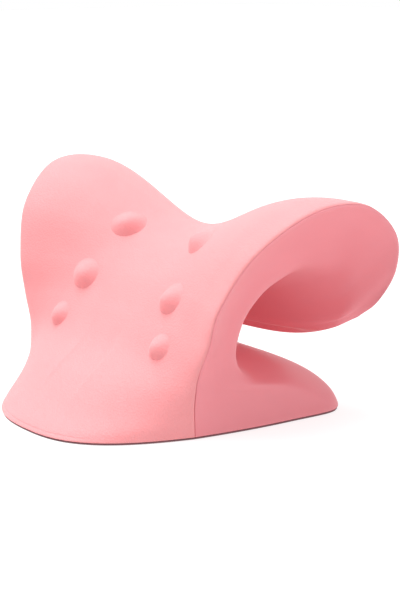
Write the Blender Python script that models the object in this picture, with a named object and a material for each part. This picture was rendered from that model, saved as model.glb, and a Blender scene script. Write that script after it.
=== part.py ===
"""Cervical traction device: a moulded foam neck stretcher, modelled at real size.

Metres, +Z up. The person lies on their back along Y with the shoulders towards -Y and the head
over +Y, so the ramp faces -Y and the open C faces +Y. The origin is on the ground, under the
middle of the object's bounding box.

The foam is swept through a row of sections. Each section is a closed loop of a front curve
(the contact face), two side faces and a back curve (the underside of the cradle, or the top of
the foot). The sweep starts flat on the ground at the front, climbs the ramp, passes over the
cradle and ends at the cradle's low rear rim.
"""

import math

import bmesh
import bpy
import numpy as np

MM = 0.001
NAME = "cervical_traction_device"
GAP = 0.3              # clearance between neighbouring solids
PAD_THICK = 1.0        # non-slip base pad
FOOT = PAD_THICK + GAP    # height of the foam's flat underside

# Guide sections in millimetres, from the foam's foot, just over the base pad, to the rear rim.
# front: y, z of the contact face on the middle plane.   rim: x, y, z of its edge.
# inner: x, y, z where the side face meets the back.     back: y, z of the back on the middle plane.
# swell: how the front curve rises towards the rim (3 late and steep, 0 early, below 0 crowned).
# sag:   how the back curve falls towards its edge, in the same way; over 3 it turns a corner.
# hollow: how far the side face is dished inwards.
SECTIONS = [
    dict(front=(-93, FOOT), rim=(77, -29.5, FOOT), inner=(98.5, 65, FOOT), back=(82, FOOT),
         swell=2.8, sag=9, hollow=-3),
    dict(front=(-89, 5), rim=(77.7, -30.3, 9), inner=(95.3, 60.5, 9), back=(77, 17),
         swell=2.5, sag=5.5, hollow=-1),
    dict(front=(-77, 13), rim=(78.5, -31.3, 18), inner=(88, 36, 21.5), back=(54, 28),
         swell=2.1, sag=4, hollow=0),
    dict(front=(-60, 27), rim=(79.5, -31.5, 27), inner=(82, 9, 28.5), back=(28, 35),
         swell=2, sag=2.1, hollow=0),
    dict(front=(-39, 42), rim=(81.5, -31, 39), inner=(79, 0, 42), back=(13, 45.5),
         swell=2, sag=2, hollow=1),
    dict(front=(-23, 60), rim=(88.8, -30, 57), inner=(79, 5, 62), back=(13, 57),
         swell=1.9, sag=2, hollow=3),
    dict(front=(-5, 80), rim=(95, -28, 79), inner=(81, 16, 76), back=(22, 66),
         swell=1.1, sag=2, hollow=5),
    dict(front=(19, 97), rim=(108, -14, 109), inner=(82, 31, 84), back=(36, 70),
         swell=-0.2, sag=2, hollow=7),
    dict(front=(41, 104), rim=(121, 18, 130.5), inner=(82, 52, 88), back=(50, 70),
         swell=-1.2, sag=2, hollow=6),
    dict(front=(62, 95), rim=(124, 56, 130), inner=(86, 72, 83), back=(62, 62),
         swell=-0.6, sag=2, hollow=4),
    dict(front=(76, 76), rim=(122, 85.5, 110), inner=(91, 79, 71), back=(69, 50),
         swell=0.2, sag=2, hollow=2),
    dict(front=(80, 58), rim=(117, 93, 86), inner=(90, 78, 56), back=(73, 40),
         swell=1, sag=2.1, hollow=0),
    dict(front=(78, 47), rim=(107.7, 89, 66), inner=(87, 79, 52), back=(76, 35),
         swell=1.8, sag=2.5, hollow=0),
    dict(front=(76, 42), rim=(96.5, 86, 55.5), inner=(84, 80.5, 47.5), back=(76, 34),
         swell=2.8, sag=3, hollow=0),
]
LAST = len(SECTIONS) - 1

SKIN_MIDDLE = 6.0      # contact skin's thickness on the middle plane
SKIN_EDGE = 1.2        # and at its edge
PAD_INSET = 1.0        # the base pad's edge, inside the foam's edge

HINGE_Y, HINGE_Z = -8.0, 57.3   # neutral axis of the arch, where the cradle bends down
SLOT = 0.6             # cut across the front half of the arch
NOTCH_DEG = 10.0       # wedge across its rear half, wider than the 8 degree bend
NOSE = 4.0             # roundness of the cradle's rear rim

# Massage nodes: distance from the middle plane, height on the ramp, length, width, rise.
NODES = [
    ("low", 48, 49, 14, 13, 4.0),
    ("mid", 41, 73, 18, 17, 4.5),
    ("top", 33, 101, 21, 17, 4.5),
]

COLUMNS = 31           # points across each face of a section
SIDE = 5               # of which this many lie on each side face, at the back
FOOT_ROWS = 2.3        # sweep position up to which the skin's depth is laid nearly level
CUT_RANGE = 3.5, 6.5   # sweep positions between which the cut through the arch is looked for
NODE_RANGE = 2.0, 8.0  # and the massage nodes
LOWER_ROWS = np.linspace(0, 4.2, 13)       # sweep positions of the rows below the cut
UPPER_ROWS = np.linspace(6.3, LAST, 20)    # and above it
NEAR_ROWS = 4          # more rows between these and the cut
NODE_RINGS, NODE_SPOKES = 5, 20
NODE_EDGE = 0.5        # thickness of a node's rim
STEP = 1e-3            # small step along or across the sweep, for directions
HALVINGS = 40          # halvings of a range when a place on the sweep is looked for


def clear_scene():
    for old in list(bpy.data.objects):
        bpy.data.objects.remove(old, do_unlink=True)
    for old in list(bpy.data.meshes):
        bpy.data.meshes.remove(old)


def guide(name):
    """One named guide as an array, a row for each section."""
    rows = np.array([section[name] for section in SECTIONS], float)
    return rows.reshape(len(SECTIONS), -1)


GUIDES = {name: guide(name) for name in SECTIONS[0]}


def along(name, t):
    """A guide's value at sweep position t, smoothly between its sections (Catmull-Rom)."""
    rows = GUIDES[name]
    t = np.clip(np.asarray(t, float), 0, LAST - 1e-9)
    i = np.floor(t).astype(int)
    f = (t - i)[..., None]
    p1, p2 = rows[i], rows[i + 1]
    p0 = np.where((i > 0)[..., None], rows[np.maximum(i - 1, 0)], 2 * p1 - p2)
    p3 = np.where((i < LAST - 1)[..., None], rows[np.minimum(i + 2, LAST)], 2 * p2 - p1)
    bend = (-p0 + 3 * p1 - 3 * p2 + p3) * f + (2 * p0 - 5 * p1 + 4 * p2 - p3)
    return 0.5 * (2 * p1 + (p2 - p0) * f + bend * f**2)


def rise(u, power):
    """0 on the middle plane and 1 at the edge; power sets where the rise happens."""
    u = np.abs(u)
    soft = (3 - power) * u**2 + (power - 2) * u**3
    return np.where(power > 3, u ** np.maximum(power, 3), soft)


def front_point(t, u):
    """A point on the contact face. u runs from -1 at the left rim to 1 at the right rim."""
    middle, rim = along("front", t), along("rim", t)
    share = rise(u, along("swell", t)[..., 0])
    y = middle[..., 0] + (rim[..., 1] - middle[..., 0]) * share
    z = middle[..., 1] + (rim[..., 2] - middle[..., 1]) * share
    return np.stack([rim[..., 0] * u, y, z], -1)


def side_point(t, s, sign):
    """A point on a side face. s runs from 0 at the rim to 1 at the inner edge."""
    rim, inner = along("rim", t), along("inner", t)
    point = rim + (inner - rim) * s[..., None]
    point[..., 0] -= along("hollow", t)[..., 0] * 4 * s * (1 - s)
    point[..., 0] *= sign
    return point


def back_point(t, v):
    """A point on the back curve. v runs from -1 at the left inner edge to 1 at the right."""
    middle, inner = along("back", t), along("inner", t)
    share = rise(v, along("sag", t)[..., 0])
    y = middle[..., 0] + (inner[..., 1] - middle[..., 0]) * share
    z = middle[..., 1] + (inner[..., 2] - middle[..., 1]) * share
    return np.stack([inner[..., 0] * v, y, z], -1)


def unit(vectors):
    return vectors / np.linalg.norm(vectors, axis=-1, keepdims=True)


def inward(t, u):
    """Direction into the foam: against the face in the middle, along the side face at the rim."""
    low, high = np.clip(t - STEP, 0, LAST), np.clip(t + STEP, 0, LAST)
    climb = front_point(high, u) - front_point(low, u)
    across = front_point(t, u + STEP) - front_point(t, u - STEP)
    into = -unit(np.cross(across, climb))
    into[..., 2] *= np.clip(t / FOOT_ROWS, 0, 1) ** 2
    into = unit(into)
    edge = unit(side_point(t, np.full_like(u, 0.1), np.sign(u)) - front_point(t, np.sign(u)))
    blend = np.clip((np.abs(u) - 0.8) / 0.2, 0, 1)[..., None] ** 2
    return unit(into * (1 - blend) + edge * blend)


def skin_depth(t, u):
    """The contact skin thins towards its edges, and over the back of the cradle."""
    end = np.clip((LAST - 1 - t) / 3, 0, 1)
    end = end * end * (3 - 2 * end)
    return SKIN_EDGE + (SKIN_MIDDLE - SKIN_EDGE) * np.maximum(1 - u * u, 0) ** 1.5 * end


U = np.linspace(-1, 1, COLUMNS)


def under_face(t, extra):
    """The contact face moved into the foam by the skin's depth and an extra gap."""
    u = np.broadcast_to(U, t.shape)
    return front_point(t, u) + inward(t, u) * (skin_depth(t, u) + extra)[..., None]


def contact_face(t):
    return front_point(t, np.broadcast_to(U, t.shape))


def back_face(t):
    """The rest of the section, from the left side face round the back to the right side face."""
    down = np.arange(1, SIDE + 1) / (SIDE + 1)
    left, right = t[:, :SIDE], t[:, -SIDE:]
    middle = t[:, SIDE:-SIDE]
    v = np.linspace(-1, 1, COLUMNS - 2 * SIDE)
    v = np.broadcast_to(1.5 * v - 0.5 * v**3, middle.shape)
    return np.concatenate([
        side_point(left, np.broadcast_to(down, left.shape), -1),
        back_point(middle, v),
        side_point(right, np.broadcast_to(down[::-1], right.shape), 1),
    ], 1)


def slot_height(y, upper):
    """Height of the cut through the arch: flat at the front, a wedge behind the hinge."""
    if not upper:
        return np.full_like(y, HINGE_Z - SLOT / 2)
    wedge = np.maximum(0, y - HINGE_Y) * math.tan(math.radians(NOTCH_DEG))
    return HINGE_Z + SLOT / 2 + wedge


def cut_positions(face, upper):
    """Sweep position, for each column of a face, at which it meets the cut through the arch."""
    low, high = (np.full((1, COLUMNS), end) for end in CUT_RANGE)
    for _ in range(HALVINGS):
        half = (low + high) / 2
        point = face(half)
        below = point[..., 2] < slot_height(point[..., 1], upper)
        low, high = np.where(below, half, low), np.where(below, high, half)
    return (low + high) / 2


def rows_of(face, upper):
    """Sweep positions of a body's grid, with its rows next to the cut spread evenly up to it."""
    cut = cut_positions(face, upper)
    steps = np.arange(NEAR_ROWS)[:, None] / NEAR_ROWS
    if upper:
        near = cut + (UPPER_ROWS[0] - cut) * steps
        return np.concatenate([near, np.repeat(UPPER_ROWS[:, None], COLUMNS, 1)])
    near = cut + (LOWER_ROWS[-1] - cut) * steps
    return np.concatenate([np.repeat(LOWER_ROWS[:, None], COLUMNS, 1), near[::-1]])


def rounded_end(front, back):
    """Two more rows that close the cradle's rear rim with a soft nose."""
    middle = (front[-1] + back[-1]) / 2
    onward = unit((front[-1] - front[-2]) + (back[-1] - back[-2]))
    for degrees in (40, 72):
        turn = math.radians(degrees)
        out = onward * NOSE * math.sin(turn)
        front = np.concatenate([front, [middle + (front[-1] - middle) * math.cos(turn) + out]])
        back = np.concatenate([back, [middle + (back[-1] - middle) * math.cos(turn) + out]])
    return front, back


def slab(front, back):
    """A closed body between two grids of points with the same rows and columns."""
    rows, columns = front.shape[:2]
    mesh = bmesh.new()
    grids = []
    for points in (front, back):
        grids.append([[mesh.verts.new(p * MM) for p in row] for row in points])
    near, far = grids
    for i in range(rows - 1):
        for j in range(columns - 1):
            # Every sheet splits its quads along the same diagonals, mirrored about the middle
            # plane, so that two sheets a fixed gap apart never cross.
            flip = j < columns // 2
            for grid, side in ((near, 1), (far, -1)):
                a, b, c, d = grid[i][j], grid[i][j + 1], grid[i + 1][j + 1], grid[i + 1][j]
                halves = ([a, b, d], [b, c, d]) if flip else ([a, b, c], [a, c, d])
                for half in halves:
                    mesh.faces.new(half[::side])
        for j in (0, columns - 1):
            mesh.faces.new([near[i][j], near[i + 1][j], far[i + 1][j], far[i][j]])
    for j in range(columns - 1):
        for i in (0, rows - 1):
            mesh.faces.new([near[i][j], far[i][j], far[i][j + 1], near[i][j + 1]])
    bmesh.ops.recalc_face_normals(mesh, faces=mesh.faces)
    if mesh.calc_volume(signed=True) < 0:
        bmesh.ops.reverse_faces(mesh, faces=mesh.faces)
    return mesh


def material(name, colour, roughness):
    made = bpy.data.materials.new(name)
    made.use_nodes = True
    shader = made.node_tree.nodes["Principled BSDF"]
    shader.inputs["Base Color"].default_value = (*colour, 1)
    shader.inputs["Roughness"].default_value = roughness
    shader.inputs["Metallic"].default_value = 0
    return made


def keep(name, mesh, parts, look, sharp_deg=50):
    data = bpy.data.meshes.new(name)
    mesh.to_mesh(data)
    mesh.free()
    for face in data.polygons:
        face.use_smooth = True
    data.set_sharp_from_angle(angle=math.radians(sharp_deg))
    data.materials.append(look)
    made = bpy.data.objects.new(name, data)
    parts.objects.link(made)
    return made


def skin_inside(t):
    return under_face(t, 0)


def foam_body(upper):
    """The core: its front face keeps the skin's own grid, so that the gap between them is even."""
    front = under_face(rows_of(skin_inside, upper), GAP)
    back = back_face(rows_of(back_face, upper))
    if upper:
        front, back = rounded_end(front, back)
    return slab(front, back)


def contact_skin(upper):
    outside = contact_face(rows_of(contact_face, upper))
    inside = skin_inside(rows_of(skin_inside, upper))
    return slab(outside, inside)


def base_pad():
    """A thin sheet with the outline of the foam's foot, a little inside it."""
    start = np.zeros((1, COLUMNS))
    outline = np.concatenate([contact_face(start)[0], back_face(start)[0][::-1]])[:, :2]
    onward = np.roll(outline, -1, 0) - np.roll(outline, 1, 0)
    outward = unit(np.stack([onward[:, 1], -onward[:, 0]], 1))
    outline = outline - outward * PAD_INSET
    mesh = bmesh.new()
    rings = [[mesh.verts.new((x * MM, y * MM, z * MM)) for x, y in outline] for z in (0, PAD_THICK)]
    mesh.faces.new(rings[0][::-1])
    mesh.faces.new(rings[1])
    for i in range(len(outline)):
        k = (i + 1) % len(outline)
        mesh.faces.new([rings[0][i], rings[0][k], rings[1][k], rings[1][i]])
    bmesh.ops.recalc_face_normals(mesh, faces=mesh.faces)
    return mesh


def place_on_ramp(x, z):
    """Sweep position and across position of the contact face at a given x and height."""
    low, high = NODE_RANGE
    for _ in range(HALVINGS):
        t = (low + high) / 2
        u = x / along("rim", t)[0]
        if front_point(t, np.array(u))[2] < z:
            low = t
        else:
            high = t
    return t, u


def massage_node(x, z, length, width, height):
    """A soft dome whose underside follows the contact skin, just clear of it."""
    t0, u0 = place_on_ramp(abs(x), z)
    u0 = math.copysign(u0, x)
    climb = front_point(np.array(t0 + STEP), np.array(u0)) - front_point(np.array(t0 - STEP), np.array(u0))
    across = front_point(np.array(t0), np.array(u0 + STEP)) - front_point(np.array(t0), np.array(u0 - STEP))
    per_t, per_u = np.linalg.norm(climb) / (2 * STEP), np.linalg.norm(across) / (2 * STEP)
    rings, spokes = NODE_RINGS, NODE_SPOKES
    mesh = bmesh.new()
    top, bottom = [], []
    for ring in range(rings + 1):
        r = ring / rings
        bump = NODE_EDGE + (height - NODE_EDGE) * (1 - r * r) ** 1.1
        over, under = [], []
        for k in range(spokes if ring else 1):
            angle = 2 * math.pi * k / spokes
            u = np.array(u0 + r * math.cos(angle) * length / 2 / per_u)
            t = np.array(t0 + r * math.sin(angle) * width / 2 / per_t)
            point, into = front_point(t, u), inward(t, u)
            over.append(mesh.verts.new((point - into * (GAP + bump)) * MM))
            under.append(mesh.verts.new((point - into * GAP) * MM))
        top.append(over)
        bottom.append(under)
    for k in range(spokes):
        n = (k + 1) % spokes
        mesh.faces.new([top[0][0], top[1][k], top[1][n]])
        mesh.faces.new([bottom[0][0], bottom[1][n], bottom[1][k]])
        for ring in range(1, rings):
            mesh.faces.new([top[ring][k], top[ring + 1][k], top[ring + 1][n], top[ring][n]])
            mesh.faces.new([bottom[ring][n], bottom[ring + 1][n], bottom[ring + 1][k], bottom[ring][k]])
        mesh.faces.new([top[rings][k], bottom[rings][k], bottom[rings][n], top[rings][n]])
    bmesh.ops.recalc_face_normals(mesh, faces=mesh.faces)
    return mesh


def main():
    clear_scene()
    parts = bpy.data.collections.new(NAME)
    bpy.context.scene.collection.children.link(parts)
    foam = material("foam", (0.88, 0.46, 0.49), 0.5)
    skin = material("contact_skin", (0.94, 0.62, 0.62), 0.7)
    bead = material("massage_node", (0.95, 0.58, 0.60), 0.6)
    grip = material("base_pad", (0.20, 0.13, 0.13), 0.8)

    hinge = bpy.data.objects.new("cradle_flex_axis", None)
    hinge.location = (0, HINGE_Y * MM, HINGE_Z * MM)
    parts.objects.link(hinge)

    keep("base_pad", base_pad(), parts, grip, 30)
    keep("foot_core", foam_body(False), parts, foam)
    keep("ramp_skin", contact_skin(False), parts, skin)
    moving = [
        keep("cradle_core", foam_body(True), parts, foam),
        keep("cradle_skin", contact_skin(True), parts, skin),
    ]
    for level, x, z, length, width, height in NODES:
        for hand, sign in (("left", -1), ("right", 1)):
            dome = massage_node(sign * x, z, length, width, height)
            made = keep(f"node_{level}_{hand}", dome, parts, bead)
            if z > HINGE_Z:
                moving.append(made)
    bpy.context.view_layer.update()
    for made in moving:
        made.parent = hinge
        made.matrix_parent_inverse = hinge.matrix_world.inverted()


main()
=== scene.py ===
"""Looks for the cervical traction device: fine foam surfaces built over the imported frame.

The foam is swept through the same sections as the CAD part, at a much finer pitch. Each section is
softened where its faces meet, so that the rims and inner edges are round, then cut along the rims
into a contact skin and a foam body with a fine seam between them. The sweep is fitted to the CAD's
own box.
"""

import math

import bmesh
import bpy
import numpy as np
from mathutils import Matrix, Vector
from mathutils.bvhtree import BVHTree


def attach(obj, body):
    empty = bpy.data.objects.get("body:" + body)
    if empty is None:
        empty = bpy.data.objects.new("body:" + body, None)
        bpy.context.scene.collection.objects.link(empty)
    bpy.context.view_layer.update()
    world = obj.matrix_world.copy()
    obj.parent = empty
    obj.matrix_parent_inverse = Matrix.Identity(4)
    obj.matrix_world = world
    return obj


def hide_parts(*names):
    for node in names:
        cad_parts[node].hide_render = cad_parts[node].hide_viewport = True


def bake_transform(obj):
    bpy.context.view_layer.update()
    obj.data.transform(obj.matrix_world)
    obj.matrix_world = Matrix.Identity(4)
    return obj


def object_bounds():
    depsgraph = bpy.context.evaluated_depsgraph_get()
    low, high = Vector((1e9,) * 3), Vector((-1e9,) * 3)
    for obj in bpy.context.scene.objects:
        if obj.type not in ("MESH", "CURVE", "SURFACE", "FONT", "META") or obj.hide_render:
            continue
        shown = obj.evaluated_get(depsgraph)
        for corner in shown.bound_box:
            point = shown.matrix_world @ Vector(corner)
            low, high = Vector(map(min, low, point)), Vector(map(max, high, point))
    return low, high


MM = 0.001
FOOT = 1.3                 # height of the foam's flat underside

# Sections of the sweep in millimetres, from the foam's foot at the front to the rear rim.
# front, back: y, z on the middle plane.   rim, inner: x, y, z of the side face's two edges.
# swell, sag: how the front and the back curves leave the middle plane (under 0 is crowned).
# hollow: how far the side face is dished.
# soft, edge: how widely the rim and the inner edge are rounded.
SECTIONS = [
    dict(front=(-93, FOOT), rim=(77, -29.5, FOOT), inner=(98.5, 65, FOOT), back=(82, FOOT),
         swell=2.8, sag=9, hollow=-3, soft=1.5, edge=7.5),
    dict(front=(-89, 5), rim=(77.7, -30.3, 9), inner=(95.3, 60.5, 9), back=(77, 17),
         swell=2.5, sag=5.5, hollow=-1, soft=2, edge=6),
    dict(front=(-77, 13), rim=(78.5, -31.3, 18), inner=(88, 36, 21.5), back=(54, 28),
         swell=2.1, sag=4, hollow=0, soft=3, edge=5),
    dict(front=(-60, 27), rim=(79.5, -31.5, 27), inner=(82, 9, 28.5), back=(28, 35),
         swell=2, sag=2.1, hollow=0, soft=4, edge=5),
    dict(front=(-39, 42), rim=(81.5, -31, 39), inner=(79, 0, 42), back=(13, 45.5),
         swell=2, sag=2, hollow=1, soft=5, edge=4.5),
    dict(front=(-23, 60), rim=(88.8, -30, 57), inner=(79, 5, 62), back=(13, 57),
         swell=1.9, sag=2, hollow=3, soft=5.5, edge=4.5),
    dict(front=(-5, 80), rim=(95, -28, 79), inner=(81, 16, 76), back=(22, 66),
         swell=1.1, sag=2, hollow=5, soft=5, edge=4.5),
    dict(front=(19, 97), rim=(108, -14, 109), inner=(82, 31, 84), back=(36, 70),
         swell=-0.2, sag=2, hollow=7, soft=4, edge=5),
    dict(front=(41, 104), rim=(121, 18, 130.5), inner=(82, 52, 88), back=(50, 70),
         swell=-1.2, sag=2, hollow=6, soft=2.6, edge=6),
    dict(front=(62, 95), rim=(124, 56, 130), inner=(86, 72, 83), back=(62, 62),
         swell=-0.6, sag=2, hollow=4, soft=2.2, edge=6.5),
    dict(front=(76, 76), rim=(122, 85.5, 110), inner=(91, 79, 71), back=(69, 50),
         swell=0.2, sag=2, hollow=2, soft=1.8, edge=6),
    dict(front=(80, 58), rim=(117, 93, 86), inner=(90, 78, 56), back=(73, 40),
         swell=1, sag=2.1, hollow=0, soft=1.5, edge=5),
    dict(front=(78, 47), rim=(107.7, 89, 66), inner=(87, 79, 52), back=(76, 35),
         swell=1.8, sag=2.5, hollow=0, soft=1.4, edge=3.5),
    dict(front=(76, 42), rim=(96.5, 86, 55.5), inner=(84, 80.5, 47.5), back=(76, 34),
         swell=2.8, sag=3, hollow=0, soft=1.4, edge=2),
]
LAST = len(SECTIONS) - 1
GUIDES = {name: np.array([s[name] for s in SECTIONS], float).reshape(LAST + 1, -1)
          for name in SECTIONS[0]}

PASSES = 90                # smoothing passes that do both roundings
LEVEL_UNTIL = 2.3          # sweep position up to which the normals are levelled

SKIN_THICK = 1.6           # contact skin
BED_DEPTH = 1.9            # where the foam body lies beneath it
SEAM = 0.15                # half the seam's width
SEAM_LIP = 0.4             # rounding of its lips
SKIN_WALL = 0.9            # how far the skin's edge turns into the seam
THIN_SHARE = 0.4           # how much of a thin rim's foam lies between the contact face and the bed
FOOT_ROUND = 1.1           # rounding of the lower edge
NOSE = 3.2                 # roundness of the cradle's rear rim
NOSE_FADE = 0.6            # how much of it is lost at the rim's corners
NOSE_ANGLES = (15, 30, 45, 60, 74, 86)

CHANNEL_DEEP, CHANNEL_HALF, CHANNEL_SLOPE = 0.6, 14.0, 3     # spinal channel

# Massage nodes: level, distance from the middle plane, height, length, width, rise, and how far
# in degrees the long axis climbs towards the middle.
NODES = [
    ("low", 48, 49, 16, 17, 4.8, 0),
    ("mid", 41, 73.5, 20, 21, 5.8, 15),
    ("top", 34, 102, 24, 20.5, 6.0, 45),
]

NODE_DROOP = 0.1           # how low a node's peak sits, as a share of its width
NODE_ROOT = 0.12           # how far a node's edge lies below the skin
NODE_WALL, NODE_FLOOR = 0.9, 1.0         # how far its wall and its underside reach into the skin
NODE_RINGS, NODE_SPOKES = 16, 48

HEM_Z, HEM_HALF, HEM_DEEP = 3.2, 0.4, 0.3     # fine crease along the lower front edge
HEM_REACH, HEM_FADE = 38.0, 25.0               # how far it runs to each side, and fades over

PAD_TOP, PAD_INSET = 0.9, 1.1            # dark sheet under the foot, which draws the dark line along the bottom edge
# Its edge: height, and how much further in it lies.
PAD_PROFILE = [(0.0, 0.35), (0.1, 0.1), (0.3, 0),
               (PAD_TOP - 0.3, 0), (PAD_TOP - 0.1, 0.1), (PAD_TOP, 0.35)]

FRONT_RAW, SIDE_RAW, BACK_RAW = 200, 46, 130   # points on a section while it is softened
ROWS, COLUMNS = 190, 170                       # finished grid


# ---------------------------------------------------------------- sections

def along(name, t):
    """A guide's value at sweep position t, smoothly between its sections (Catmull-Rom)."""
    rows = GUIDES[name]
    t = np.clip(np.asarray(t, float), 0, LAST - 1e-9)
    i = np.floor(t).astype(int)
    f = (t - i)[..., None]
    p1, p2 = rows[i], rows[i + 1]
    p0 = np.where((i > 0)[..., None], rows[np.maximum(i - 1, 0)], 2 * p1 - p2)
    p3 = np.where((i < LAST - 1)[..., None], rows[np.minimum(i + 2, LAST)], 2 * p2 - p1)
    bend = (-p0 + 3 * p1 - 3 * p2 + p3) * f + (2 * p0 - 5 * p1 + 4 * p2 - p3)
    return 0.5 * (2 * p1 + (p2 - p0) * f + bend * f**2)


def rise(u, power):
    """0 on the middle plane and 1 at the edge; power sets where the rise happens."""
    u = np.abs(u)
    soft = (3 - power) * u**2 + (power - 2) * u**3
    return np.where(power > 3, u ** np.maximum(power, 3), soft)


def smooth(x):
    x = np.clip(x, 0, 1)
    return x * x * (3 - 2 * x)


def ramp(x, start, span):
    """0 up to start, 1 from start + span on, and smooth between them."""
    return smooth((x - start) / span)


def unit(vectors):
    return vectors / np.maximum(np.linalg.norm(vectors, axis=-1, keepdims=True), 1e-12)


def across_curve(t, middle_name, edge_name, power_name, u):
    """Points across a section, from the left edge at u = -1 to the right edge at u = 1."""
    middle, edge = along(middle_name, t)[:, None], along(edge_name, t)[:, None]
    share = rise(u, along(power_name, t))
    y = middle[..., 0] + (edge[..., 1] - middle[..., 0]) * share
    z = middle[..., 1] + (edge[..., 2] - middle[..., 1]) * share
    return np.stack([edge[..., 0] * u, y, z], -1)


def side_curve(t, s):
    """Points down the right side face, from the rim at s = 0 to the inner edge at s = 1."""
    rim, inner = along("rim", t)[:, None], along("inner", t)[:, None]
    point = rim + (inner - rim) * s[..., None]
    point[..., 0] -= along("hollow", t) * 4 * s * (1 - s)
    return point


def respaced(curves, offsets):
    """Each row's curve sampled at the given distances along it, one row of offsets for each."""
    steps = np.linalg.norm(np.diff(curves[..., :3], axis=1), axis=-1)
    places = np.concatenate([np.zeros((len(curves), 1)), np.cumsum(steps, 1)], 1)
    picked = np.empty((len(curves), offsets.shape[1], curves.shape[2]))
    for i in range(len(curves)):
        for k in range(curves.shape[2]):
            picked[i, :, k] = np.interp(offsets[i], places[i], curves[i, :, k])
    return picked


def length_of(curves):
    return np.linalg.norm(np.diff(curves[..., :3], axis=1), axis=-1).sum(1)[:, None]


def even(curves, count):
    return respaced(curves, length_of(curves) * np.linspace(0, 1, count))


RIM_R = FRONT_RAW - 1                       # corners of the closed section loop, by index
INNER_R = RIM_R + SIDE_RAW
INNER_L = INNER_R + BACK_RAW


def sharp_loops(t):
    """Closed loops: the front from left to right, then side, back and side to the start."""
    across = np.broadcast_to(np.linspace(-1, 1, 500), (len(t), 500))
    down = np.broadcast_to(np.linspace(0, 1, 100), (len(t), 100))
    front = even(across_curve(t, "front", "rim", "swell", across), FRONT_RAW)
    back = even(across_curve(t, "back", "inner", "sag", np.sin(across * math.pi / 2)), BACK_RAW + 1)
    side = even(side_curve(t, down), SIDE_RAW + 1)
    mirrored = side[:, ::-1] * (-1, 1, 1)
    return np.concatenate([front, side[:, 1:], back[:, -2::-1], mirrored[:, 1:-1]], 1)


def around(loops, corner):
    """Distance along each loop from its corner, in millimetres."""
    steps = np.linalg.norm(np.roll(loops, -1, 1) - loops, axis=-1)
    places = np.cumsum(steps, 1) - steps
    total = steps.sum(1, keepdims=True)
    away = np.abs(places - places[:, corner, None])
    return np.minimum(away, total - away)


def softened(loops, t):
    """Rounds the four corners, then carries each rim back out to where it was."""
    rim, inner = along("soft", t), along("edge", t)
    rim_kept = 1 - 0.25 * ramp(t[:, None], 8.5, 2)
    inner_kept = 0.95 - 0.5 * ramp(t[:, None], 7, 2)
    corners = [(0, rim, rim_kept), (RIM_R, rim, rim_kept),
               (INNER_R, inner, inner_kept), (INNER_L, inner, inner_kept)]
    spacing = np.linalg.norm(np.roll(loops, -1, 1) - np.roll(loops, 1, 1), axis=-1) / 2
    sigma = np.zeros(loops.shape[:2])
    windows = []
    for corner, size, kept in corners:
        away = around(loops, corner) / size
        sigma = np.maximum(sigma, size * (1 - smooth((away - 1.2) / 2.4)))
        windows.append((corner, kept * (1 - smooth(away / 4.5))))
    rate = np.minimum((sigma / np.maximum(spacing, 0.2)) ** 2 / (2 * PASSES), 0.45)[..., None]
    sharp = loops
    for _ in range(PASSES):
        loops = loops + rate * (np.roll(loops, 1, 1) + np.roll(loops, -1, 1) - 2 * loops)
    pushes = sum((sharp[:, c] - loops[:, c])[:, None] * window[..., None] for c, window in windows)
    return loops + pushes


def outward_normals(loops, t):
    """Unit normals of the swept loops. Near the foot they lie flat, which keeps its edge level."""
    across = np.roll(loops, -1, 1) - np.roll(loops, 1, 1)
    normal = unit(np.cross(across, np.gradient(loops, t, axis=0)))
    if (normal * (loops - loops.mean(1, keepdims=True))).sum() < 0:
        normal = -normal
    normal[..., 2] *= np.clip(t / LEVEL_UNTIL, 0, 1)[:, None] ** 2
    return unit(normal)


def spinal_channel(points, t):
    """Depth of the faint channel that clears the spine, on the ramp only."""
    fade = ramp(t, 1.8, 1.2) * (1 - ramp(t, 3.2, 1.8))
    aside = smooth((np.abs(points[..., 0]) - CHANNEL_HALF) / CHANNEL_SLOPE + 0.5)
    return CHANNEL_DEEP * fade[:, None] * (1 - aside)


def lower_hem(points):
    """Depth of the crease just above the front edge. It fades out towards the seams."""
    fade = 1 - smooth((np.abs(points[..., 0]) - HEM_REACH) / HEM_FADE + 0.5)
    return HEM_DEEP * fade * np.exp(-((points[..., 2] - HEM_Z) / HEM_HALF) ** 2)


END_ROWS = 5


def row_positions():
    """Sweep positions evenly spaced by length, with close rows that round both ends."""
    t = np.linspace(0, LAST, 1500)
    length = np.zeros(len(t))
    for name in ("rim", "inner", "front", "back"):
        length[1:] += np.cumsum(np.linalg.norm(np.diff(along(name, t), axis=0), axis=1)) / 4
    start = np.interp(0.45 * np.arange(END_ROWS), length, t)
    end = LAST - 1e-3 - 0.015 * np.arange(END_ROWS)[::-1]
    hem = np.interp(np.arange(3, 10, 0.4), length, t)
    middle = np.interp(np.linspace(11, length[-1] - 2, ROWS), length, t)
    return np.concatenate([start, hem, middle, end])


# ---------------------------------------------------------------- fitted to the frame

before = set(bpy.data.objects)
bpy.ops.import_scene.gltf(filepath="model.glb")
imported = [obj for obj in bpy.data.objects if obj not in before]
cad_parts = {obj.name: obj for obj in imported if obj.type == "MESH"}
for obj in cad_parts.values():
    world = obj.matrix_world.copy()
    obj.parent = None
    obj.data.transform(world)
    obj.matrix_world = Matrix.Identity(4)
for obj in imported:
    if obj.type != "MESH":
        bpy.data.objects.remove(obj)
cad_low, cad_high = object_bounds()

T = row_positions()
SHARP = sharp_loops(T)
OWN_LOW, OWN_HIGH = SHARP.min((0, 1)), SHARP.max((0, 1))
STRETCH = np.array([
    cad_high.x / MM / OWN_HIGH[0],
    1.0,
    (cad_high.z / MM - FOOT) / (OWN_HIGH[2] - FOOT),
])
SHIFT_Y = cad_low.y / MM - OWN_LOW[1]


def fitted(points):
    """Sweep millimetres moved into the frame, in metres."""
    return ((points - (0, 0, FOOT)) * STRETCH + (0, SHIFT_Y, FOOT)) * MM


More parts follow.
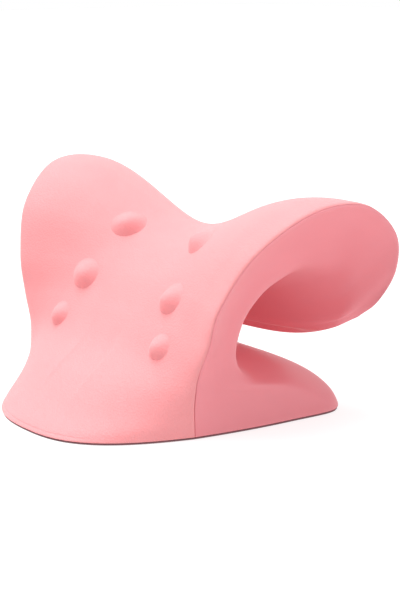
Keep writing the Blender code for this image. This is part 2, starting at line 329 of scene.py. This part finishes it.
LOOPS = softened(SHARP, T)
SURFACE = np.concatenate([LOOPS, outward_normals(LOOPS, T)], -1)
FRONT = SURFACE[:, :RIM_R + 1]
REST = np.concatenate([SURFACE[:, RIM_R:], SURFACE[:, :1]], 1)[:, ::-1]

# The seam's lip: distance from the rim and depth below the surface. The seam is open along the
# foot and closes up, with a finer lip, above the waist.
LIP = [(SEAM, SKIN_WALL), (SEAM + 0.02, 0.35), (SEAM + 0.07, 0.16), (SEAM + 0.2, 0.05),
       (SEAM + SEAM_LIP, 0.0)]
LIP_AT = np.array([offset for offset, _ in LIP])
LIP_DEPTH = np.array([depth for _, depth in LIP])
OPEN = 1 - 0.7 * ramp(T, 2.5, 2.5) - 0.18 * ramp(T, 8, 2)
TUCK = 1 - np.arange(END_ROWS) / (END_ROWS - 1)
FOOT_DEPTH = np.concatenate([FOOT_ROUND * (1 - np.sqrt(1 - TUCK**2)), np.zeros(len(T) - END_ROWS)])


def lipped(curves, count):
    """A face between two rims, respaced with close columns that form the lips of the seam."""
    total = length_of(curves)
    middle = np.linspace(0, 1, count - 2 * len(LIP) + 2)[1:-1]
    share = OPEN[:len(curves), None]
    near = LIP_AT * share
    last = near[:, -1:]
    between = last + (total - 2 * last) * middle
    offsets = np.concatenate([near, between, total - near[:, ::-1]], 1)
    lip = np.where(LIP_DEPTH >= SKIN_WALL, SKIN_WALL, LIP_DEPTH * share)
    depth = np.concatenate([lip, np.zeros((len(curves), len(middle))), lip[:, ::-1]], 1)
    picked = respaced(curves, offsets)
    return picked[..., :3], unit(picked[..., 3:]), depth


RIM_DEPTH = 1 - 0.88 * ramp(T, 8, 2.5)      # the cradle's rims are too thin for the full depth


def depth_below(points, depth):
    """A depth under the contact face, less near the cradle's rims, where the foam is thin."""
    far_side = even(REST, 1200)[..., :3]
    thickness = np.array([np.linalg.norm(row[:, None] - facing, axis=-1).min(1)
                          for row, facing in zip(points, far_side)])
    return np.minimum(depth, depth * RIM_DEPTH[:, None] + THIN_SHARE * thickness)


# ---------------------------------------------------------------- mesh helpers

def mesh_object(name, verts, faces, material):
    data = bpy.data.meshes.new(name)
    data.from_pydata(np.asarray(verts).reshape(-1, 3).tolist(), [], faces)
    bm = bmesh.new()
    bm.from_mesh(data)
    bmesh.ops.recalc_face_normals(bm, faces=bm.faces)
    if bm.calc_volume(signed=True) < 0:
        bmesh.ops.reverse_faces(bm, faces=bm.faces)
    bm.to_mesh(data)
    bm.free()
    data.shade_smooth()
    data.materials.append(material)
    made = bpy.data.objects.new(name, data)
    bpy.context.scene.collection.objects.link(made)
    return made


def grid_faces(rows, columns, start=0, closed=False):
    """Quads of a grid of points whose first index is start."""
    faces = []
    for i in range(rows - 1):
        for j in range(columns if closed else columns - 1):
            a, b = start + i * columns + j, start + i * columns + (j + 1) % columns
            faces.append((a, b, b + columns, a + columns))
    return faces


def shell(outer, inner):
    """A closed sheet between two grids of points with the same rows and columns."""
    rows, columns = outer.shape[:2]
    size = rows * columns
    faces = grid_faces(rows, columns) + [face[::-1] for face in grid_faces(rows, columns, size)]
    border = list(range(columns))
    border += [i * columns + columns - 1 for i in range(1, rows)]
    border += [(rows - 1) * columns + j for j in range(columns - 2, -1, -1)]
    border += [i * columns for i in range(rows - 2, 0, -1)]
    faces += [(b, a, a + size, b + size) for a, b in zip(border, border[1:] + border[:1])]
    return np.concatenate([outer.reshape(-1, 3), inner.reshape(-1, 3)]), faces


def bend_with_arch(piece):
    """Bakes a foam piece's placement into its mesh; the piece is not bent."""
    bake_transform(piece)


# ---------------------------------------------------------------- materials

def new_material(name):
    made = bpy.data.materials.new(name)
    made.use_nodes = True
    return made, made.node_tree, made.node_tree.nodes["Principled BSDF"]


def noise(tree, coords, scale, detail=3.0):
    node = tree.nodes.new("ShaderNodeTexNoise")
    node.inputs["Scale"].default_value = scale
    node.inputs["Detail"].default_value = detail
    tree.links.new(coords.outputs["Object"], node.inputs["Vector"])
    return node.outputs["Fac"]


def cells(tree, coords, scale, randomness=1.0):
    node = tree.nodes.new("ShaderNodeTexVoronoi")
    node.inputs["Scale"].default_value = scale
    node.inputs["Randomness"].default_value = randomness
    tree.links.new(coords.outputs["Object"], node.inputs["Vector"])
    return node.outputs["Distance"]


def tones(tree, factor, low, high):
    node = tree.nodes.new("ShaderNodeMix")
    node.data_type = "RGBA"
    low_in, high_in = [socket for socket in node.inputs if socket.type == "RGBA"]
    low_in.default_value, high_in.default_value = (*low, 1), (*high, 1)
    tree.links.new(factor, node.inputs["Factor"])
    return [socket for socket in node.outputs if socket.type == "RGBA"][0]


def bump(tree, height, distance, strength, under=None):
    node = tree.nodes.new("ShaderNodeBump")
    node.inputs["Distance"].default_value = distance
    node.inputs["Strength"].default_value = strength
    tree.links.new(height, node.inputs["Height"])
    if under is not None:
        tree.links.new(under, node.inputs["Normal"])
    return node.outputs["Normal"]


def foam_finish(shader, roughness, sheen):
    shader.inputs["Roughness"].default_value = roughness
    shader.inputs["Specular IOR Level"].default_value = 0.35
    shader.inputs["Subsurface Weight"].default_value = 0.1
    shader.inputs["Subsurface Radius"].default_value = (1.0, 0.35, 0.3)
    shader.inputs["Subsurface Scale"].default_value = 0.004
    shader.inputs["Sheen Weight"].default_value = sheen
    shader.inputs["Sheen Roughness"].default_value = 0.5
    shader.inputs["Sheen Tint"].default_value = (1.0, 0.85, 0.85, 1)


def grained_skin():
    """Contact face: fine pebble grain over a slow mottling, as on soft moulded foam."""
    made, tree, shader = new_material("contact_skin_grain")
    coords = tree.nodes.new("ShaderNodeTexCoord")
    mottle = noise(tree, coords, scale=60)
    tone = tones(tree, mottle, low=(0.93, 0.325, 0.34), high=(0.96, 0.355, 0.37))
    tree.links.new(tone, shader.inputs["Base Color"])
    foam_finish(shader, roughness=0.62, sheen=0.2)
    fine = bump(tree, noise(tree, coords, scale=1500, detail=2), distance=0.0001, strength=0.35)
    pebbles = cells(tree, coords, scale=900)
    grain = bump(tree, pebbles, distance=0.00025, strength=0.55, under=fine)
    tree.links.new(grain, shader.inputs["Normal"])
    return made


def satin_foam():
    """Side, underside and foot: smoother moulded foam with a faint, slow unevenness."""
    made, tree, shader = new_material("foam_satin")
    coords = tree.nodes.new("ShaderNodeTexCoord")
    mottle = noise(tree, coords, scale=45)
    tone = tones(tree, mottle, low=(0.82, 0.255, 0.285), high=(0.86, 0.275, 0.305))
    tree.links.new(tone, shader.inputs["Base Color"])
    foam_finish(shader, roughness=0.5, sheen=0.1)
    # A weak glow stands for the light that soaks through the foam.
    shader.inputs["Emission Color"].default_value = (1, 0.42, 0.52, 1)
    shader.inputs["Emission Strength"].default_value = 0.045
    wave = bump(tree, mottle, distance=0.0006, strength=0.12)
    pores = noise(tree, coords, scale=1100, detail=2)
    grain = bump(tree, pores, distance=0.00008, strength=0.35, under=wave)
    tree.links.new(grain, shader.inputs["Normal"])
    return made


def dark_sheet_material():
    """Base sheet: thin dark sheet with a fine dot pattern; it draws the dark line along the foam's
    bottom edge.
    """
    made, tree, shader = new_material("dark_sheet_tone")
    coords = tree.nodes.new("ShaderNodeTexCoord")
    mottle = noise(tree, coords, scale=80)
    tone = tones(tree, mottle, low=(0.24, 0.125, 0.14), high=(0.3, 0.16, 0.175))
    tree.links.new(tone, shader.inputs["Base Color"])
    shader.inputs["Roughness"].default_value = 0.85
    dots = cells(tree, coords, scale=400, randomness=0.0)
    tree.links.new(bump(tree, dots, distance=0.0003, strength=0.6), shader.inputs["Normal"])
    return made


# ---------------------------------------------------------------- pieces

def contact_skin(material):
    """The grained sheet over the ramp, the neck rest and the head cradle."""
    face, normal, col_depth = lipped(FRONT, COLUMNS)
    channel = spinal_channel(face, T)
    row_depth = FOOT_DEPTH.copy()
    row_depth[-END_ROWS:] = LIP_DEPTH[::-1]
    under = depth_below(face, SKIN_THICK)
    over = np.minimum(np.maximum(row_depth[:, None], col_depth), 0.6 * under) + lower_hem(face)
    outer = face - normal * (over + channel)[..., None]
    inner = face - normal * (under + channel)[..., None]
    return mesh_object("contact_skin", *shell(fitted(outer), fitted(inner)), material)


def foam_body(material):
    """The moulded body: side faces, underside of the cradle, top of the foot and rear rim."""
    face, normal, col_depth = lipped(REST, COLUMNS)
    col_depth = np.where(col_depth >= SKIN_WALL, BED_DEPTH * RIM_DEPTH[:, None], col_depth)
    back = face - normal * np.maximum(FOOT_DEPTH[:, None], col_depth)[..., None]

    picked = respaced(FRONT, length_of(FRONT) * np.linspace(0, 1, COLUMNS))
    top, into = picked[..., :3], -unit(picked[..., 3:])
    under = depth_below(top, BED_DEPTH)
    bed = top + into * (under + spinal_channel(top, T))[..., None]

    # Past the skin's end the bed steps up to the surface, and both faces close in a round nose.
    onward = unit((top[-1] - top[-END_ROWS]) + (face[-1] - face[-END_ROWS]))
    steps = [(2 * SEAM, BED_DEPTH)] + [(2 * SEAM + at - SEAM, deep) for at, deep in LIP[1:]]
    for step, deep in steps:
        deep = np.minimum(deep, under[-1])[:, None]
        bed = np.concatenate([bed, [top[-1] + onward * step + into[-1] * deep]])
        back = np.concatenate([back, [back[len(T) - 1] + onward * step]])
    near, far = bed[-1], back[-1]
    middle = (near + far) / 2
    corner = smooth((np.abs(top[-1, :, 0]) / np.abs(top[-1, 0, 0]) - 0.7) / 0.3)[:, None]
    nose = NOSE * (1 - NOSE_FADE * corner)
    for degrees in NOSE_ANGLES:
        turn = math.radians(degrees)
        out = middle + onward * nose * math.sin(turn)
        bed = np.concatenate([bed, [out + (near - middle) * math.cos(turn)]])
        back = np.concatenate([back, [out + (far - middle) * math.cos(turn)]])

    loops = np.concatenate([back, bed[:, ::-1]], 1)
    rows, count = loops.shape[:2]
    faces = grid_faces(rows, count, closed=True)
    faces.append(tuple(range(count))[::-1])
    last = (rows - 1) * count
    faces += [(last + j, last + j + 1, last + count - 2 - j, last + count - 1 - j)
              for j in range(COLUMNS - 1)]
    return mesh_object("foam_body", fitted(loops), faces, material)


def massage_node(name, x, z, length, width, height, tilt, tree, material):
    """A soft oval dome that rises gently from above and ends in a fuller, steeper lower side."""
    eye = Vector((x * MM, cad_low.y - 0.1, z * MM))
    centre, normal, _, _ = tree.ray_cast(eye, Vector((0, 1, 0)))
    across = Vector((1, 0, 0)).cross(normal).cross(normal).normalized()
    if across.x < 0:
        across.negate()
    upward = normal.cross(across).normalized()
    if upward.z < 0:
        upward.negate()
    lean = math.radians(math.copysign(tilt, -x))
    long, short = (across * math.cos(lean) + upward * math.sin(lean),
                   upward * math.cos(lean) - across * math.sin(lean))
    rings, spokes = NODE_RINGS, NODE_SPOKES
    verts, faces = [], []
    for ring in range(rings + 1):
        r = ring / rings
        sink = upward * (NODE_DROOP * width * (1 - r**2))
        for k in range(spokes if ring else 1):
            angle = 2 * math.pi * k / spokes
            side = long * (math.cos(angle) * length / 2) + short * (math.sin(angle) * width / 2)
            power = 1.45 + 0.25 * side.normalized().dot(upward)
            bell = height * (1 - r**2) ** power - NODE_ROOT
            start = centre + (side * r - sink) * MM + normal * 0.02
            hit = tree.ray_cast(start, -normal)[0]
            verts.append(hit + normal * (bell * MM))
    rim = len(verts) - spokes
    for k in range(spokes):
        verts.append(verts[rim + k] - normal * (NODE_WALL * MM))
    verts.append(centre - normal * (NODE_FLOOR * MM))
    bottom = len(verts) - 1
    for k in range(spokes):
        n = (k + 1) % spokes
        faces.append((0, 1 + k, 1 + n))
        for ring in range(rings):
            a, b = 1 + ring * spokes + k, 1 + ring * spokes + n
            faces.append((a, a + spokes, b + spokes, b))
        faces.append((rim + spokes + k, bottom, rim + spokes + n))
    return mesh_object(name, [tuple(v) for v in verts], faces, material)


def dark_foot_sheet(material):
    """The thin sheet under the foot, a little inside the foam's outline."""
    face, normal, _ = lipped(REST[:1], COLUMNS)
    front, front_normal, _ = lipped(FRONT[:1], COLUMNS)
    outline = np.concatenate([face[0], front[0][::-1]])
    out = np.concatenate([normal[0], front_normal[0][::-1]])
    out[:, 2] = 0
    rings = []
    for z, more in PAD_PROFILE:
        ring = outline - unit(out) * (PAD_INSET + more)
        ring[:, 2] = z
        rings.append(ring)
    rings = np.array(rings)
    count = rings.shape[1]
    faces = grid_faces(len(rings), count, closed=True)
    faces += [tuple(range(count))[::-1], tuple(range((len(rings) - 1) * count, len(rings) * count))]
    flat = rings * (STRETCH[0], 1, 1) + (0, SHIFT_Y, 0)
    return mesh_object("dark_foot_sheet", flat * MM, faces, material)


# ---------------------------------------------------------------- the object

skin_look, foam_look, dark_sheet_look = grained_skin(), satin_foam(), dark_sheet_material()

skin = contact_skin(skin_look)
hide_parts("ramp_skin", "cradle_skin")

body = foam_body(foam_look)
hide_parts("foot_core", "cradle_core")

sheet = dark_foot_sheet(dark_sheet_look)
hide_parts("base_pad")
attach(sheet, "base")

skin_tree = BVHTree.FromPolygons([v.co for v in skin.data.vertices],
                                 [p.vertices for p in skin.data.polygons])
domes = []
for level, x, z, length, width, height, tilt in NODES:
    for hand, sign in (("left", -1), ("right", 1)):
        name = f"massage_node_{level}_{hand}"
        dome = massage_node(name, sign * x, z, length, width, height, tilt, skin_tree, skin_look)
        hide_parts(f"node_{level}_{hand}")
        domes.append(dome)

for piece in [skin, body] + domes:
    bend_with_arch(piece)


# ---------------------------------------------------------------- stage

# Broad room light from three sides: direction and strength.
ROOM = [((1, 0, 0), 0.88), ((-1, 0, 0), 0.95), ((0, 1, 0), 0.5)]
OVERHEAD, OVERHEAD_FROM, OVERHEAD_SPREAD = 3.3, (-0.28, -0.2, 1.0), 50
FLOOR_SEEN, FLOOR_LIGHT = 0.75, 0.55     # glow of the floor to the camera, and to the foam
FLOOR_HALF = 6.0


def sun_light(name, source, strength, spread_deg):
    data = bpy.data.lights.new(name, "SUN")
    data.energy, data.angle = strength, math.radians(spread_deg)
    made = bpy.data.objects.new(name, data)
    made.rotation_euler = (-Vector(source)).to_track_quat("-Z", "Y").to_euler()
    bpy.context.scene.collection.objects.link(made)


def camera_or_room(tree, seen, lit):
    """One level for rays from the camera, and another for rays that carry light."""
    ray = tree.nodes.new("ShaderNodeLightPath")
    level = tree.nodes.new("ShaderNodeMapRange")
    level.inputs["To Max"].default_value = seen
    if isinstance(lit, float):
        level.inputs["To Min"].default_value = lit
    else:
        tree.links.new(lit, level.inputs["To Min"])
    tree.links.new(ray.outputs["Is Camera Ray"], level.inputs["Value"])
    return level.outputs["Result"]


def room_light(tree):
    """Broad lobes of room light, each strongest along its own direction and summed."""
    coords = tree.nodes.new("ShaderNodeTexCoord")
    total = None
    for direction, level in ROOM:
        facing = tree.nodes.new("ShaderNodeVectorMath")
        facing.operation = "DOT_PRODUCT"
        facing.inputs[1].default_value = direction
        tree.links.new(coords.outputs["Generated"], facing.inputs[0])
        lobe = tree.nodes.new("ShaderNodeMapRange")
        lobe.inputs["From Min"].default_value = -0.2
        lobe.inputs["To Max"].default_value = level
        tree.links.new(facing.outputs["Value"], lobe.inputs["Value"])
        both = tree.nodes.new("ShaderNodeMath")
        both.inputs[1].default_value = 0
        tree.links.new(lobe.outputs["Result"], both.inputs[0])
        if total is not None:
            tree.links.new(total, both.inputs[1])
        total = both.outputs["Value"]
    return total


def pale_floor():
    made, tree, shader = new_material("floor_pale")
    shader.inputs["Base Color"].default_value = (0.35, 0.35, 0.35, 1)
    shader.inputs["Roughness"].default_value = 0.9
    shader.inputs["Emission Color"].default_value = (1, 1, 1, 1)
    glow = camera_or_room(tree, FLOOR_SEEN, FLOOR_LIGHT)
    tree.links.new(glow, shader.inputs["Emission Strength"])
    data = bpy.data.meshes.new("floor")
    half = FLOOR_HALF
    corners = [(-half, -half, 0), (half, -half, 0), (half, half, 0), (-half, half, 0)]
    data.from_pydata(corners, [], [(0, 1, 2, 3)])
    data.materials.append(made)
    floor = bpy.data.objects.new("floor", data)
    bpy.context.scene.collection.objects.link(floor)


def studio():
    """A broad soft overhead light in a pale room that reads as white to the camera."""
    world = bpy.data.worlds.new("studio")
    world.use_nodes = True
    tree = world.node_tree
    background = tree.nodes["Background"]
    background.inputs["Color"].default_value = (1, 1, 1, 1)
    tree.links.new(camera_or_room(tree, 1.0, room_light(tree)), background.inputs["Strength"])
    bpy.context.scene.world = world
    sun_light("overhead", OVERHEAD_FROM, OVERHEAD, OVERHEAD_SPREAD)
    bpy.context.scene.view_settings.view_transform = "Standard"


def photo_camera(azimuth, elevation, distance, target, lens):
    data = bpy.data.cameras.new("camera")
    data.lens, data.sensor_width, data.sensor_fit = lens, 36.0, "AUTO"
    made = bpy.data.objects.new("camera", data)
    a, e = math.radians(azimuth), math.radians(elevation)
    back = Vector((math.sin(a) * math.cos(e), -math.cos(a) * math.cos(e), math.sin(e)))
    made.location = Vector(target) + back * distance
    made.rotation_euler = (-back).to_track_quat("-Z", "Y").to_euler()
    bpy.context.scene.collection.objects.link(made)
    bpy.context.scene.camera = made


pale_floor()
studio()
photo_camera(azimuth=48.1, elevation=15.0, distance=0.681,
             target=(0.0757, -0.0248, 0.0807), lens=74.3)
